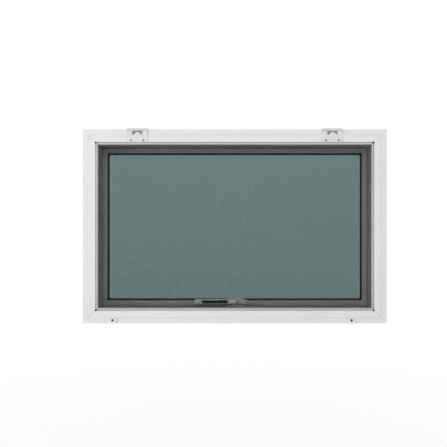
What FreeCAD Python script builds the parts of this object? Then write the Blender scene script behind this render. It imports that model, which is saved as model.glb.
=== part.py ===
import FreeCAD, Part
import Sketcher
import os

# Top hung awning window with a hinged insect screen, in millimetres.
# +X right, +Z up, the room at -Y and the outdoors at +Y.
# The origin is the middle of the sill's underside, halfway through the frame's depth.

SIZES = {
    # fixed frame: a multi-chamber extrusion, coped at the corners
    "frame_width": 800,
    "frame_height": 510,
    "frame_depth": 100,
    "frame_face": 40.5,
    "lip_width": 17,
    "screen_rebate": 12,
    "stop_depth": 58,
    "pocket_face": 18,
    "frame_wall": 1.5,
    "edge_break": 0.6,
    # outward opening sash: a box with an inner glazing lip and an outer flange
    "sash_overlap": 9,
    "sash_sight": 15.5,
    "sash_depth": 34,
    "sash_lip": 2,
    "sash_wall": 1.5,
    "sash_mitre_gap": 0.05,
    "flange_reach": 9,
    "flange_thickness": 3,
    "seal_height": 4,
    "seal_reach": 3.5,
    "seal_bearing": 7,
    # glazing
    "glass_thickness": 5,
    "glass_bite": 7,
    "gasket_thickness": 4,
    "gasket_sight": 4.8,
    "gasket_seat": 7,
    "gasket_corner": 5,
    "outer_gasket_thickness": 3,
    "bead_depth": 15,
    "bead_width": 9,
    "bead_wall": 1.2,
    "bead_slope": 3,
    # insect screen: a mitred frame whose flange laps the fixed frame, grooved on both faces
    "strip_sight": 14.5,
    "screen_proud": 1.5,
    "screen_seat_gap": 0.5,
    "screen_flange": 8,
    "screen_flange_thickness": 1.2,
    "screen_lip": 4.5,
    "groove_width": 2.6,
    "groove_depth": 5,
    "front_groove_depth": 6,
    "lip_drop": 1.5,
    "corner_hole_radius": 2,
    "lip_bevel": 1,
    "screen_wall": 1.2,
    "screen_mitre_gap": 0.15,
    "mesh_thickness": 0.5,
    "mesh_strand": 10,
    "spline_radius": 1.2,
    "spline_corner": 3,
    # top hinges of the screen
    "hinge_inset": 143.5,
    "hinge_width": 53,
    "hinge_drop": 0.7,
    "hinge_offset": 4.5,
    "knuckle_radius": 2.8,
    "knuckle_length": 14,
    "knuckle_gap": 0.5,
    "pin_radius": 1.5,
    "running_clearance": 0.05,
    "leaf_thickness": 1.6,
    "leaf_drop": 33.3,
    "leaf_gap": 0.3,
    "leaf_corner": 3,
    "leaf_bridge": 1.2,
    "window_half": 13,
    "window_drop": 14.3,
    "tongue_shift": 1.3,
    "tongue_foot": 10.5,
    "tongue_top": 3.5,
    "tongue_drop": 6.3,
    "leaf_screw_offset": 16.5,
    "leaf_screw_drop": 28.3,
    "leaf_screw_radius": 1.7,
    "fixed_leaf_thickness": 1.5,
    "fixed_leaf_depth": 20,
    "hinge_slot_length": 27,
    "hinge_slot_height": 11,
    "hinge_slot_drop": 3,
    # turn buttons at the foot of the screen
    "button_left": 79,
    "button_right": 93,
    "button_height": 8.2,
    "button_radius": 10.5,
    "button_flat": 3.5,
    "button_thickness": 2.2,
    "button_clearance": 0.4,
    "button_boss_radius": 3.4,
    "button_edge": 0.7,
    "screw_radius": 1.75,
    "screw_head_radius": 3.2,
    "screw_head_height": 1.6,
    "screw_head_edge": 1,
    "screw_length": 6,
    # cam handle on the sash's bottom rail
    "handle_shift": 0,
    "handle_height": 54,
    "base_length": 68,
    "base_waist": 27,
    "base_rise": 9,
    "base_end_rise": 2.5,
    "base_drop": 9,
    "base_thickness": 7,
    "base_end_radius": 3,
    "base_edge": 1.5,
    "hub_radius": 7.5,
    "hub_gap": 0.3,
    "hub_length": 11,
    "spindle_radius": 4,
    "spindle_length": 5,
    "lever_reach": 108.5,
    "lever_thickness": 9,
    "lever_root_width": 14,
    "lever_tip_width": 13,
    "lever_end_radius": 5.5,
    "lever_edge": 2.2,
    "insert_length": 68,
    "insert_width": 7,
    "insert_start": 19,
    "insert_height": 0.4,
    "insert_depth": 1.5,
    "cap_radius": 9.5,
    "cap_height": 4,
    "cap_edge": 3.5,
    "cam_length": 12,
    "cam_width": 8,
    "cam_thickness": 5,
    "cam_setback": 2,
    "keeper_length": 40,
    "keeper_height": 3.5,
    "keeper_depth": 4,
    "keeper_gap": 1,
    "keeper_edge": 1.5,
    # friction stays between the sash and the jambs
    "stay_length": 250,
    "stay_top": 30,
    "stay_front": 18,
    "stay_width": 18,
    "stay_bar": 2.5,
    "stay_arm_width": 14,
    "stay_bar_start": 60,
    "rivet_radius": 3.5,
    "rivet_inset": 25,
    # holes for the wall screws in the jambs, and drain slots in the sill
    "fixing_spacing": 300,
    "fixing_radius": 3,
    "fixing_inset": 21,
    "drain_spacing": 500,
    "drain_length": 30,
    "drain_height": 4,
    "drain_level": 8,
}

# how many openings the insect mesh has each way
MESH_CELLS_ACROSS = 12
MESH_CELLS_UP = 7

document = FreeCAD.newDocument("awning_window")
sheet = document.addObject("Spreadsheet::Sheet", "Sizes")
for row, (alias, number) in enumerate(SIZES.items(), start=1):
    sheet.set(f"A{row}", alias)
    sheet.set(f"B{row}", str(number))
    sheet.setAlias(f"B{row}", alias)
document.recompute()


class Dim:
    """A length and the sheet expression that gives it."""

    def __init__(self, value, text):
        self.value = value
        self.text = text

    def __add__(self, other):
        other = as_dim(other)
        return Dim(self.value + other.value, f"({self.text} + {other.text})")

    def __sub__(self, other):
        other = as_dim(other)
        return Dim(self.value - other.value, f"({self.text} - {other.text})")

    def __mul__(self, factor):
        return Dim(self.value * factor, f"({self.text} * {factor})")

    def __truediv__(self, divisor):
        return Dim(self.value / divisor, f"({self.text} / {divisor})")

    def __neg__(self):
        return Dim(-self.value, f"(-1 * {self.text})")

    def __rsub__(self, other):
        return as_dim(other) - self


def as_dim(number):
    return number if isinstance(number, Dim) else Dim(number, str(number))


def size(alias):
    return Dim(SIZES[alias], f"Sizes.{alias}")


ZERO = as_dim(0)
# cutting tools reach this far past what they cut
PAST = as_dim(2)

finished = {}


def keep(name, item):
    """Registers a finished sub-part under its node name."""
    item.Label = name
    finished[name] = item
    return item


def new_body(name):
    body = document.addObject("PartDesign::Body", name)
    return keep(name, body)


def origin_part(body, role):
    """One of the planes or axes of the body's origin."""
    return next(part for part in body.Origin.OriginFeatures if part.Role == role)


def new_sketch(body, name, role, offset=ZERO):
    """A sketch on one of the body's origin planes, moved along the plane's normal."""
    sketch = body.newObject("Sketcher::SketchObject", name)
    sketch.AttachmentSupport = [(origin_part(body, role), "")]
    sketch.MapMode = "FlatFace"
    sketch.setExpression(".AttachmentOffset.Base.z", offset.text)
    return sketch


def fix_point(sketch, geometry, which, u, v):
    """Ties one sketch point to its two expressions."""
    for kind, dim in (("DistanceX", u), ("DistanceY", v)):
        index = sketch.addConstraint(
            Sketcher.Constraint(kind, -1, 1, geometry, which, dim.value)
        )
        sketch.setExpression(f"Constraints[{index}]", dim.text)


def add_loop(sketch, points):
    """A closed polygon whose corners are (u, v) pairs of Dim."""
    first = sketch.GeometryCount
    count = len(points)
    for number in range(count):
        start = points[number]
        end = points[(number + 1) % count]
        sketch.addGeometry(
            Part.LineSegment(
                FreeCAD.Vector(start[0].value, start[1].value, 0),
                FreeCAD.Vector(end[0].value, end[1].value, 0),
            )
        )
    for number in range(count):
        follower = first + (number + 1) % count
        sketch.addConstraint(
            Sketcher.Constraint("Coincident", first + number, 2, follower, 1)
        )
        fix_point(sketch, first + number, 1, *points[number])


def add_circle(sketch, u, v, radius):
    geometry = sketch.addGeometry(
        Part.Circle(FreeCAD.Vector(u.value, v.value, 0), FreeCAD.Vector(0, 0, 1), radius.value)
    )
    fix_point(sketch, geometry, 3, u, v)
    index = sketch.addConstraint(Sketcher.Constraint("Radius", geometry, radius.value))
    sketch.setExpression(f"Constraints[{index}]", radius.text)


def rectangle(u_low, u_high, v_low, v_high):
    return [(u_low, v_low), (u_high, v_low), (u_high, v_high), (u_low, v_high)]


def pad(body, sketch, length, centred=False, backwards=False):
    feature = body.newObject("PartDesign::Pad", sketch.Name + "_pad")
    feature.Profile = sketch
    feature.SideType = "Symmetric" if centred else "One side"
    feature.Reversed = backwards
    feature.Length = length.value
    feature.setExpression("Length", length.text)
    return feature


def pocket(body, sketch, length=None, centred=False, backwards=False):
    """Cuts the sketch out of the body, right through where no length is given."""
    document.recompute()
    before = body.Shape.Volume
    feature = body.newObject("PartDesign::Pocket", sketch.Name + "_cut")
    feature.Profile = sketch
    feature.SideType = "Symmetric" if centred else "One side"
    feature.Reversed = backwards
    if length is None:
        feature.Type = "ThroughAll"
    else:
        feature.Length = length.value
        feature.setExpression("Length", length.text)
    document.recompute()
    if body.Shape.Volume > before - 1e-6:
        raise RuntimeError(f"{feature.Name} cut nothing")
    return feature


def soften(body, feature, radius, chosen, kind="Fillet"):
    """Rounds or bevels the edges of a feature that the test chooses."""
    document.recompute()
    edges = feature.Shape.Edges
    names = [f"Edge{number}" for number, edge in enumerate(edges, 1) if chosen(edge)]
    dress = body.newObject(f"PartDesign::{kind}", f"{feature.Name}_{kind.lower()}")
    dress.Base = (feature, names)
    measure = "Radius" if kind == "Fillet" else "Size"
    setattr(dress, measure, radius.value)
    dress.setExpression(measure, radius.text)
    return dress


def in_plane(axis, level):
    """A test for edges that lie in the plane where x, y or z is level."""
    return lambda edge: all(
        abs(getattr(vertex.Point, axis) - level.value) < 1e-6 for vertex in edge.Vertexes
    )


def runs_along(axis):
    """A test for straight edges along x, y or z."""
    def chosen(edge):
        if len(edge.Vertexes) < 2:
            return False
        step = edge.Vertexes[1].Point - edge.Vertexes[0].Point
        return step.Length > 0 and abs(abs(getattr(step, axis)) - step.Length) < 1e-6
    return chosen


def place(item, x=ZERO, y=ZERO, z=ZERO, turn=0):
    """Puts an item at (x, y, z), turned about the Y axis by so many degrees."""
    item.Placement = FreeCAD.Placement(
        FreeCAD.Vector(x.value, y.value, z.value),
        FreeCAD.Rotation(FreeCAD.Vector(0, 1, 0), turn),
    )
    for axis, dim in (("x", x), ("y", y), ("z", z)):
        item.setExpression(f".Placement.Base.{axis}", dim.text)


# Where things lie through the depth: y of each plane, from the room to the outdoors.
front = -(size("frame_depth") / 2)
back = size("frame_depth") / 2
ledge = front + size("screen_rebate")
stop_back = front + size("stop_depth")
sash_front = stop_back + size("seal_height")
sash_back = sash_front + size("sash_depth")
glass_front = sash_front + size("sash_lip") + size("gasket_thickness")
glass_back = glass_front + size("glass_thickness")
bead_front = glass_back + size("outer_gasket_thickness")
bead_back = bead_front + size("bead_depth")
screen_front = front - size("screen_proud")
screen_back = ledge - size("screen_seat_gap")

# Half sizes of the nested rectangles, seen from the room, about the window's middle.
middle = size("frame_height") / 2
half_width = size("frame_width") / 2
half_height = size("frame_height") / 2
sash_inset = size("frame_face") - size("sash_overlap")
sash_member = size("sash_overlap") + size("sash_sight")
sash_edge = (half_width - sash_inset, half_height - sash_inset)
glass_inset = size("frame_face") + size("sash_sight") - size("glass_bite")
screen_inset = size("strip_sight")
screen_edge = (half_width - screen_inset, half_height - screen_inset)
screen_member = size("frame_face") - screen_inset


def inset_half(inset):
    """Half width and half height of the rectangle so far inside the frame's edge."""
    return half_width - inset, half_height - inset


# A member's section is drawn with u through the depth and v = minus the distance
# inwards from its outer edge, and runs along the local X axis.
TURNS = {"top": 0, "right": 90, "bottom": 180, "left": 270}


def seat_member(body, side, half_sizes):
    """Turns a member's outer edge to its side of the window."""
    half_x, half_z = half_sizes
    spots = {
        "top": (ZERO, middle + half_z),
        "bottom": (ZERO, middle - half_z),
        "left": (-half_x, middle),
        "right": (half_x, middle),
    }
    x, z = spots[side]
    place(body, x=x, z=z, turn=TURNS[side])


def extrusion(name, loops, length):
    """A straight extrusion with the section's outer loop and its chambers."""
    body = new_body(name)
    section = new_sketch(body, name + "_section", "YZ_Plane")
    for loop in loops:
        add_loop(section, [(depth, -inwards) for inwards, depth in loop])
    pad(body, section, length, centred=True)
    return body


# Fixed frame
edge_break = size("edge_break")
frame_outline = [
    (ZERO, front + edge_break),
    (edge_break, front),
    (size("lip_width"), front),
    (size("lip_width"), ledge),
    (size("frame_face"), ledge),
    (size("frame_face"), stop_back),
    (size("pocket_face"), stop_back),
    (size("pocket_face"), back),
    (ZERO, back),
]
frame_wall = size("frame_wall")


def frame_chambers():
    """Lip chamber, main chamber and rear chamber of the frame's extrusion."""
    lip = rectangle(frame_wall, size("lip_width") - frame_wall, front + frame_wall, ledge)
    main = rectangle(
        frame_wall, size("frame_face") - frame_wall, ledge + frame_wall, stop_back - frame_wall
    )
    rear = rectangle(frame_wall, size("pocket_face") - frame_wall, stop_back, back - frame_wall)
    return [lip, main, rear]


def frame_member(side):
    """Head and sill run between the jambs' outer lips, and the jambs are coped round them."""
    names = {"top": "frame_head", "bottom": "frame_sill", "left": "frame_jamb_left",
             "right": "frame_jamb_right"}
    upright = side in ("left", "right")
    length = size("frame_height") if upright else size("frame_width") - size("lip_width") * 2
    body = extrusion(names[side], [frame_outline] + frame_chambers(), length)
    if upright:
        cope = new_sketch(body, names[side] + "_cope", "XY_Plane", -size("lip_width"))
        for sign in (1, -1):
            edge = length / 2
            add_loop(cope, [((edge - inwards) * sign, depth) for inwards, depth in frame_outline])
        pocket(body, cope)
        holes = new_sketch(body, names[side] + "_wall_holes", "XY_Plane")
        for sign in (1, -1):
            add_circle(holes, (size("fixing_spacing") / 2) * sign, back - size("fixing_inset"),
                       size("fixing_radius"))
        pocket(body, holes, centred=True)
    seat_member(body, side, (half_width, half_height))


# Sash and glazing beads
sash_wall = size("sash_wall")
sash_box = size("sash_overlap") + size("sash_sight") - size("bead_width")
sash_outline = [
    (ZERO, sash_front),
    (sash_member - edge_break, sash_front),
    (sash_member, sash_front + edge_break),
    (sash_member, sash_front + size("sash_lip")),
    (sash_box, sash_front + size("sash_lip")),
    (sash_box, sash_back),
    (-size("flange_reach"), sash_back),
    (-size("flange_reach"), sash_back - size("flange_thickness")),
    (ZERO, sash_back - size("flange_thickness")),
]
sash_chamber = rectangle(
    sash_wall, sash_box - sash_wall, sash_front + size("sash_lip"), sash_back - sash_wall
)
bead_wall = size("bead_wall")
bead_outline = [
    (ZERO, bead_front),
    (size("bead_width"), bead_front),
    (size("bead_width"), bead_back - size("bead_slope")),
    (size("bead_width") - size("bead_slope"), bead_back),
    (ZERO, bead_back),
]
bead_chamber = rectangle(
    bead_wall, size("bead_width") - bead_wall, bead_front + bead_wall,
    bead_back - size("bead_slope") - bead_wall,
)


def mitred_member(name, side, loops, half_sizes, inwards, gap, outwards=ZERO):
    """One side of a mitred frame whose outer edge lies at half_sizes."""
    half_x, half_z = half_sizes
    along = half_z if side in ("left", "right") else half_x
    length = (along + outwards) * 2
    body = extrusion(name, loops, length)
    reach = inwards + outwards + PAST
    sketch = new_sketch(body, name + "_mitre", "XZ_Plane")
    for sign in (1, -1):
        tip = (length / 2 - gap) * sign
        toe = (length / 2 - gap - reach) * sign
        end = (length / 2 + PAST) * sign
        heel = outwards - reach
        add_loop(sketch, [(tip, outwards), (end, outwards), (end, heel), (toe, heel)])
    pocket(body, sketch, centred=True)
    seat_member(body, side, half_sizes)
    return body


# Insect screen
screen_wall = size("screen_wall")
groove_outer = screen_member - size("screen_lip")
groove_inner = groove_outer - size("groove_width")
lip_back = screen_back - size("lip_drop")
flange_back = screen_front + size("screen_flange_thickness")
front_floor = screen_front + size("front_groove_depth")
groove_floor = screen_back - size("groove_depth")
screen_outline = [
    (ZERO, screen_front + edge_break),
    (edge_break, screen_front),
    (groove_inner, screen_front),
    (groove_inner, front_floor),
    (groove_outer, front_floor),
    (groove_outer, screen_front),
    (screen_member - size("lip_bevel"), screen_front),
    (screen_member, screen_front + size("lip_bevel")),
    (screen_member, lip_back),
    (groove_outer, lip_back),
    (groove_outer, groove_floor),
    (groove_inner, groove_floor),
    (groove_inner, screen_back),
    (size("screen_flange"), screen_back),
    (size("screen_flange"), flange_back),
    (ZERO, flange_back),
]
screen_chamber = rectangle(
    size("screen_flange") + screen_wall, groove_inner - screen_wall,
    screen_front + screen_wall, screen_back - screen_wall,
)


def ring(name, outer, inner, y_front, y_back, corner=None):
    """A rectangular loop of gasket between two depths, its inner corners rounded."""
    body = new_body(name)
    sketch = new_sketch(body, name + "_outline", "XZ_Plane", -y_back)
    for half_x, half_z in (outer, inner):
        add_loop(sketch, rectangle(-half_x, half_x, middle - half_z, middle + half_z))
    band = pad(body, sketch, y_back - y_front)
    across = runs_along("y")
    inner_x = inner[0].value

    def inner_corner(edge):
        return across(edge) and abs(abs(edge.Vertexes[0].X) - inner_x) < 1e-6

    if corner:
        soften(body, band, corner, inner_corner)


def block(name, width, depth, height, x, y, z):
    """A box whose lowest corner is at (x, y, z)."""
    item = document.addObject("Part::Box", name)
    for edge, dim in (("Length", width), ("Width", depth), ("Height", height)):
        setattr(item, edge, dim.value)
        item.setExpression(edge, dim.text)
    place(item, x=x, y=y, z=z)
    return keep(name, item)


def plate(name, half_x, half_z, y_front, y_back):
    """A flat rectangular sheet about the window's middle."""
    block(name, half_x * 2, y_back - y_front, half_z * 2, -half_x, y_front, middle - half_z)


def cylinder(name, radius, length):
    """A cylinder along local Z."""
    item = document.addObject("Part::Cylinder", name)
    item.Radius = radius.value
    item.setExpression("Radius", radius.text)
    item.Height = length.value
    item.setExpression("Height", length.text)
    return item


SIDES = ("top", "bottom", "left", "right")
RAIL_NAMES = {"top": "top_rail", "bottom": "bottom_rail", "left": "stile_left",
              "right": "stile_right"}

for side in SIDES:
    frame_member(side)
for side in SIDES:
    mitred_member(
        "sash_" + RAIL_NAMES[side], side, [sash_outline, sash_chamber], sash_edge,
        sash_member, size("sash_mitre_gap"), size("flange_reach"),
    )
bead_edge = (sash_edge[0] - sash_box, sash_edge[1] - sash_box)
for side in SIDES:
    mitred_member(
        "glazing_bead_" + side, side, [bead_outline, bead_chamber], bead_edge,
        size("bead_width"), size("sash_mitre_gap"),
    )


def screen_side(side):
    """One side of the screen's frame, with half a corner hole at each end of its grooves."""
    name = "screen_" + RAIL_NAMES[side]
    member = mitred_member(
        name, side, [screen_outline, screen_chamber], screen_edge, screen_member,
        size("screen_mitre_gap"),
    )
    along = screen_edge[1] if side in ("left", "right") else screen_edge[0]
    line = groove_inner + size("groove_width") / 2
    holes = new_sketch(member, name + "_corner_holes", "XZ_Plane")
    for sign in (1, -1):
        add_circle(holes, (along - line) * sign, -line, size("corner_hole_radius"))
    pocket(member, holes, centred=True)


for side in SIDES:
    screen_side(side)

sight = size("frame_face") + size("sash_sight")
plate("glass_pane", *inset_half(glass_inset), glass_front, glass_back)
ring(
    "inner_gasket",
    inset_half(sight - size("gasket_seat")),
    inset_half(sight + size("gasket_sight")),
    sash_front + size("sash_lip"),
    glass_front,
    size("gasket_corner"),
)
ring(
    "outer_gasket",
    inset_half(sight - size("gasket_seat")),
    inset_half(sight),
    glass_back,
    bead_front,
)
ring(
    "weather_seal",
    inset_half(size("frame_face") - size("seal_bearing")),
    inset_half(size("frame_face") + size("seal_reach")),
    stop_back,
    sash_front,
)


def insect_mesh():
    """A thin sheet behind the lips, with a plain grid of openings."""
    half_x, half_z = inset_half(screen_inset + groove_outer)
    strand = size("mesh_strand")
    body = new_body("insect_mesh")
    mesh_back = lip_back + size("mesh_thickness")
    outline = new_sketch(body, "insect_mesh_outline", "XZ_Plane", -mesh_back)
    add_loop(outline, rectangle(-half_x, half_x, middle - half_z, middle + half_z))
    pad(body, outline, size("mesh_thickness"))
    step_x = (half_x * 2 - strand) / MESH_CELLS_ACROSS
    step_z = (half_z * 2 - strand) / MESH_CELLS_UP
    low_x = strand - half_x
    low_z = middle - half_z + strand
    cell = new_sketch(body, "insect_mesh_cell", "XZ_Plane", -mesh_back)
    add_loop(cell, rectangle(
        low_x, low_x + step_x - strand, low_z, low_z + step_z - strand
    ))
    first = pocket(body, cell, centred=True)
    grid = body.newObject("PartDesign::MultiTransform", "insect_mesh_grid")
    grid.Originals = [first]
    rows = []
    for role, step, count in (
        ("X_Axis", step_x, MESH_CELLS_ACROSS), ("Z_Axis", step_z, MESH_CELLS_UP),
    ):
        row = body.newObject("PartDesign::LinearPattern", "insect_mesh_row_" + role[0])
        row.Direction = (origin_part(body, role), [""])
        row.Mode = "Spacing"
        row.Offset = step.value
        row.setExpression("Offset", step.text)
        row.Occurrences = count
        rows.append(row)
    grid.Transformations = rows
    body.Tip = grid


insect_mesh()


def spline():
    """Four rubber cords pressed into the rear groove, each short of the corner."""
    line = groove_inner + size("groove_width") / 2
    half_x, half_z = inset_half(screen_inset + line)
    depth = lip_back - size("spline_radius")
    cords = []
    for side in SIDES:
        upright = side in ("left", "right")
        along = half_z if upright else half_x
        length = (along - size("spline_corner")) * 2
        cord = cylinder("spline_cord_" + side, size("spline_radius"), length)
        if upright:
            x = half_x if side == "right" else -half_x
            place(cord, x=x, y=depth, z=middle - length / 2)
        else:
            z = half_z if side == "top" else -half_z
            place(cord, x=-(length / 2), y=depth, z=middle + z, turn=90)
        cords.append(cord)
    bundle = document.addObject("Part::Compound", "spline_cords")
    bundle.Links = cords
    keep("screen_spline", bundle)


spline()


# Top hinges of the screen: two outer knuckles on the head, one inner knuckle on the screen
axis_y = front - size("hinge_offset")
axis_z = size("frame_height") - size("hinge_drop")
half_knuckle = size("knuckle_length") / 2


def fixed_leaf(name, x):
    """A plate on top of the head with two knuckles in front of it."""
    half_leaf = size("hinge_width") / 2
    outer_start = half_knuckle + size("knuckle_gap")
    near = size("hinge_offset")
    far = near + size("fixed_leaf_depth")
    body = new_body("hinge_fixed_leaf_" + name)
    top = new_sketch(body, body.Name + "_plate", "XY_Plane", size("hinge_drop"))
    add_loop(top, [
        (-half_leaf, ZERO), (-outer_start, ZERO), (-outer_start, near), (outer_start, near),
        (outer_start, ZERO), (half_leaf, ZERO), (half_leaf, far), (-half_leaf, far),
    ])
    pad(body, top, size("fixed_leaf_thickness"))
    knuckles = new_sketch(body, body.Name + "_knuckles", "YZ_Plane", -half_leaf)
    add_circle(knuckles, ZERO, ZERO, size("knuckle_radius"))
    pad(body, knuckles, size("hinge_width"))
    gap = new_sketch(body, body.Name + "_gap", "YZ_Plane")
    reach = size("knuckle_radius") + PAST
    add_loop(gap, rectangle(-reach, near, -reach, reach))
    pocket(body, gap, outer_start * 2, centred=True)
    bore = new_sketch(body, body.Name + "_bore", "YZ_Plane")
    add_circle(bore, ZERO, ZERO, size("pin_radius"))
    pocket(body, bore, centred=True)
    place(body, x=x, y=axis_y, z=axis_z)


def moving_leaf(name, x):
    """A plate on the screen's top rail with one knuckle and a notched opening below it."""
    half_leaf = size("hinge_width") / 2
    corner = size("leaf_corner")
    foot = -size("leaf_drop")
    leaf_top = -(size("knuckle_radius") + size("leaf_gap"))
    leaf_back = screen_front - axis_y
    body = new_body("hinge_moving_leaf_" + name)
    face = new_sketch(body, body.Name + "_plate", "XZ_Plane", -leaf_back)
    add_loop(face, [
        (corner - half_leaf, foot), (half_leaf - corner, foot), (half_leaf, foot + corner),
        (half_leaf, leaf_top), (-half_leaf, leaf_top), (-half_leaf, foot + corner),
    ])
    half_window = size("window_half")
    window_top = leaf_top - size("leaf_bridge")
    window_foot = -size("window_drop")
    shift = size("tongue_shift")
    add_loop(face, [
        (-half_window, window_top), (-half_window, window_foot),
        (shift - size("tongue_foot"), window_foot),
        (shift - size("tongue_top"), -size("tongue_drop")),
        (shift + size("tongue_top"), -size("tongue_drop")),
        (shift + size("tongue_foot"), window_foot),
        (half_window, window_foot), (half_window, window_top),
    ])
    for sign in (1, -1):
        add_circle(face, size("leaf_screw_offset") * sign, -size("leaf_screw_drop"),
                   size("leaf_screw_radius"))
    pad(body, face, size("leaf_thickness"))
    tab = new_sketch(body, body.Name + "_tab", "XZ_Plane", -leaf_back)
    add_loop(tab, rectangle(-half_knuckle, half_knuckle, window_top, ZERO))
    pad(body, tab, size("leaf_thickness"))
    knuckle = new_sketch(body, body.Name + "_knuckle", "YZ_Plane")
    add_circle(knuckle, ZERO, ZERO, size("knuckle_radius"))
    pad(body, knuckle, size("knuckle_length"), centred=True)
    hole = new_sketch(body, body.Name + "_bore", "YZ_Plane")
    add_circle(hole, ZERO, ZERO, size("pin_radius") + size("running_clearance"))
    pocket(body, hole, centred=True)
    place(body, x=x, y=axis_y, z=axis_z)


def hinge(name, x):
    fixed_leaf(name, x)
    moving_leaf(name, x)
    pin = cylinder("hinge_pin_" + name, size("pin_radius"), size("hinge_width"))
    place(pin, x=x - size("hinge_width") / 2, y=axis_y, z=axis_z, turn=90)
    keep("hinge_pin_" + name, pin)


hinge_x = half_width - size("hinge_inset")
hinge("left", -hinge_x)
hinge("right", hinge_x)

# a slot in the head behind each leaf's opening
head = finished["frame_head"]
hinge_slots = new_sketch(head, "frame_head_hinge_slots", "XZ_Plane", -front)
for sign in (1, -1):
    half_slot = size("hinge_slot_length") / 2
    slot_middle = hinge_x * sign
    slot_top = -size("hinge_slot_drop")
    add_loop(hinge_slots, rectangle(
        slot_middle - half_slot, slot_middle + half_slot,
        slot_top - size("hinge_slot_height"), slot_top,
    ))
pocket(head, hinge_slots, frame_wall + PAST)


# Turn buttons: a disc with one flat, which lets the screen past while the flat is up
def turn_button(name, x):
    z = size("button_height")
    disc_back = screen_front - size("button_clearance")
    boss_back = front - size("button_clearance")
    button = new_body("turn_button_" + name)
    disc = new_sketch(button, button.Name + "_disc", "XZ_Plane")
    add_circle(disc, ZERO, ZERO, size("button_radius"))
    face = pad(button, disc, size("button_thickness"))
    front_edge = in_plane("y", -size("button_thickness"))
    soften(button, face, size("button_edge"), front_edge, "Chamfer")
    boss = new_sketch(button, button.Name + "_boss", "XZ_Plane")
    add_circle(boss, ZERO, ZERO, size("button_boss_radius"))
    pad(button, boss, boss_back - disc_back, backwards=True)
    flat = new_sketch(button, button.Name + "_flat", "XZ_Plane")
    reach = size("button_radius") + PAST
    add_loop(flat, rectangle(-reach, reach, size("button_flat"), reach))
    pocket(button, flat, centred=True)
    hole = new_sketch(button, button.Name + "_hole", "XZ_Plane")
    add_circle(hole, ZERO, ZERO, size("screw_radius") + size("running_clearance"))
    pocket(button, hole, centred=True)
    place(button, x=x, y=disc_back, z=z)

    screw = new_body("button_screw_" + name)
    shank = new_sketch(screw, screw.Name + "_shank", "XZ_Plane")
    add_circle(shank, ZERO, ZERO, size("screw_radius"))
    button_front = disc_back - size("button_thickness") - size("running_clearance")
    shank_length = (front + size("screw_length")) - button_front
    pad(screw, shank, shank_length)
    head = new_sketch(screw, screw.Name + "_head", "XZ_Plane", shank_length)
    add_circle(head, ZERO, ZERO, size("screw_head_radius"))
    cap = pad(screw, head, size("screw_head_height"))
    rim = shank_length + size("screw_head_height")
    soften(screw, cap, size("screw_head_edge"), in_plane("y", -rim), "Chamfer")
    place(screw, x=x, y=front + size("screw_length"), z=z)


BUTTONS = {
    "left": size("button_left") - half_width,
    "right": half_width - size("button_right"),
}
for name, x in BUTTONS.items():
    turn_button(name, x)

sill = finished["frame_sill"]
screw_holes = new_sketch(sill, "frame_sill_screw_holes", "XZ_Plane", -front)
for x in BUTTONS.values():
    # the sill is turned half round, so its local X runs to the left and local Z down
    add_circle(screw_holes, -x, -size("button_height"), size("screw_radius"))
pocket(sill, screw_holes, size("screw_length"))
drains = new_sketch(sill, "frame_sill_drains", "XZ_Plane", -back)
for sign in (1, -1):
    drain_middle = (size("drain_spacing") / 2) * sign
    add_loop(drains, rectangle(
        drain_middle - size("drain_length") / 2, drain_middle + size("drain_length") / 2,
        -(size("drain_level") + size("drain_height")), -size("drain_level"),
    ))
pocket(sill, drains, frame_wall + PAST, backwards=True)


# Friction stays: a track on the jamb, an arm and a bar on the sash, folded together
def friction_stay(name, sign):
    wall = half_width - size("pocket_face")
    cavity = wall - sash_edge[0]
    low_z = middle + sash_edge[1] - size("stay_top") - size("stay_length")
    high_z = low_z + size("stay_length")
    low_y = size("stay_front")
    arm_y = low_y + (size("stay_width") - size("stay_arm_width")) / 2
    rivet = size("rivet_radius")
    bar = size("stay_bar")
    body = new_body("friction_stay_" + name)

    def slab(part, offset, thickness, outline):
        sketch = new_sketch(body, f"{body.Name}_{part}", "YZ_Plane", (wall - offset) * sign)
        outline(sketch)
        pad(body, sketch, thickness, backwards=sign > 0)

    middle_y = low_y + size("stay_width") / 2
    inset = size("rivet_inset")
    slab("track", ZERO, bar, lambda sketch: add_loop(sketch, rectangle(
        low_y, low_y + size("stay_width"), low_z, high_z)))

    def rivets(sketch):
        for height in (low_z + inset, low_z + size("stay_length") / 2, high_z - inset):
            add_circle(sketch, middle_y, height, rivet)

    slab("rivets", ZERO, cavity, rivets)
    slab("arm", (cavity - bar) / 2, bar, lambda sketch: add_loop(sketch, rectangle(
        arm_y, arm_y + size("stay_arm_width"), low_z + rivet, high_z - rivet)))
    slab("bar", cavity - bar, bar, lambda sketch: add_loop(sketch, rectangle(
        low_y, low_y + size("stay_width"), low_z + size("stay_bar_start"), high_z)))


friction_stay("left", -1)
friction_stay("right", 1)


# Cam handle
handle_x = size("handle_shift")
handle_z = size("handle_height")
base_front = sash_front - size("base_thickness")
hub_back = base_front - size("hub_gap")
lever_back = hub_back - size("hub_length")
keeper_front = hub_back - size("cam_setback") + size("keeper_gap")


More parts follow.
